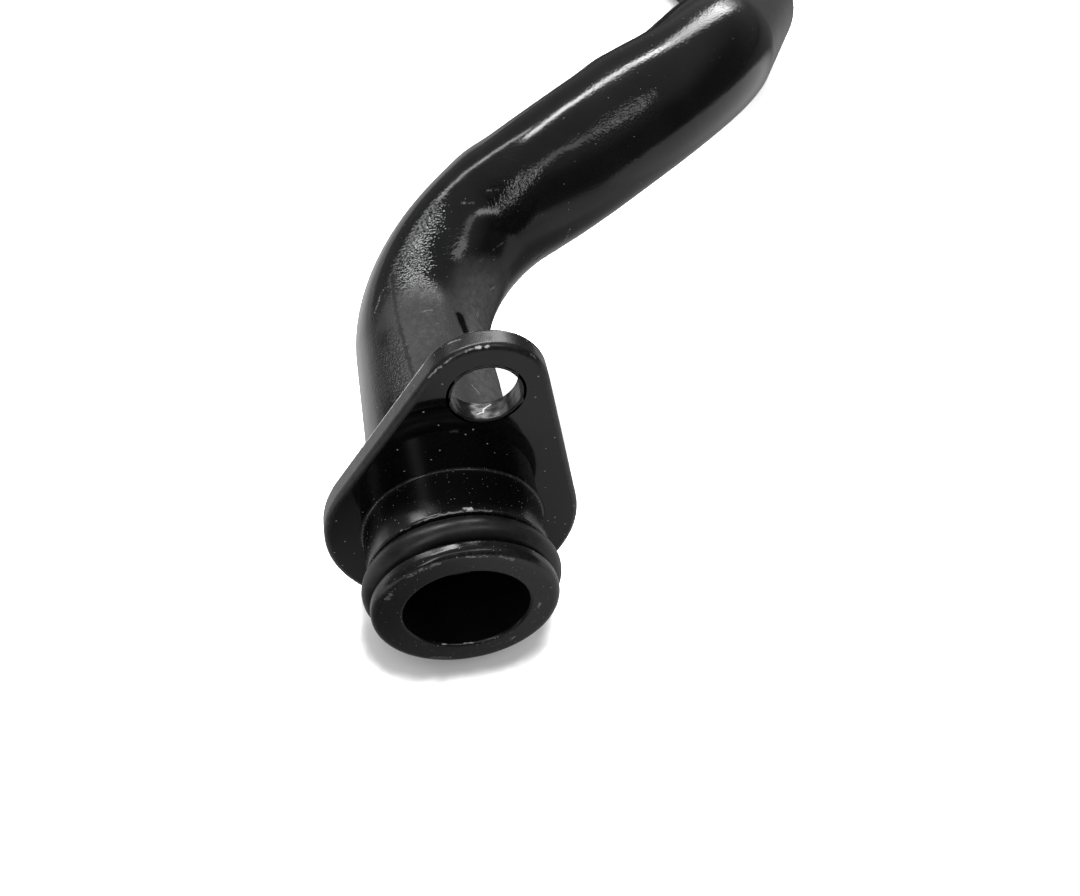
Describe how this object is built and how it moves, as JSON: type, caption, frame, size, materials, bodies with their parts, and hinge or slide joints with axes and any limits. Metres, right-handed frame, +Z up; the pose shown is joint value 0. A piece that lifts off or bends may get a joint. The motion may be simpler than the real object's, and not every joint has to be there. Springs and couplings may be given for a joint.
{
  "type": "coolant pipe",
  "caption": "Bent steel coolant pipe, painted gloss black, with a bolt-on flange, a turned spigot with an O-ring groove and a beaded hose end.",
  "frame": {"origin": "centre of the flange's seating face, on the spigot's axis", "axes": "-Y out of the spigot's mouth into the mating bore, +Y along the tube as it leaves the back of the flange, +Z up with the pipe lying as it comes to rest, +X to the right when looking at the tube's back from the mouth's side, that is looking along +Y"},
  "size_m": [0.1248, 0.2734, 0.0547],
  "materials": {
    "tube_paint": "gloss black paint over steel, thick and slightly orange-peeled",
    "flange_paint": "gloss black paint over flat steel plate, thin and scuffed along its edges",
    "spigot_paint": "satin black paint over turned steel, scuffed on the lip",
    "braze": "gloss black paint over a brazed fillet",
    "ring_rubber": "smooth matt black rubber"
  },
  "bodies": {
    "root": {"pipe_tube": "tube_paint", "mounting_flange": "flange_paint", "spigot": "spigot_paint", "o_ring": "ring_rubber", "braze_ring": "braze"}
  },
  "joints": []
}
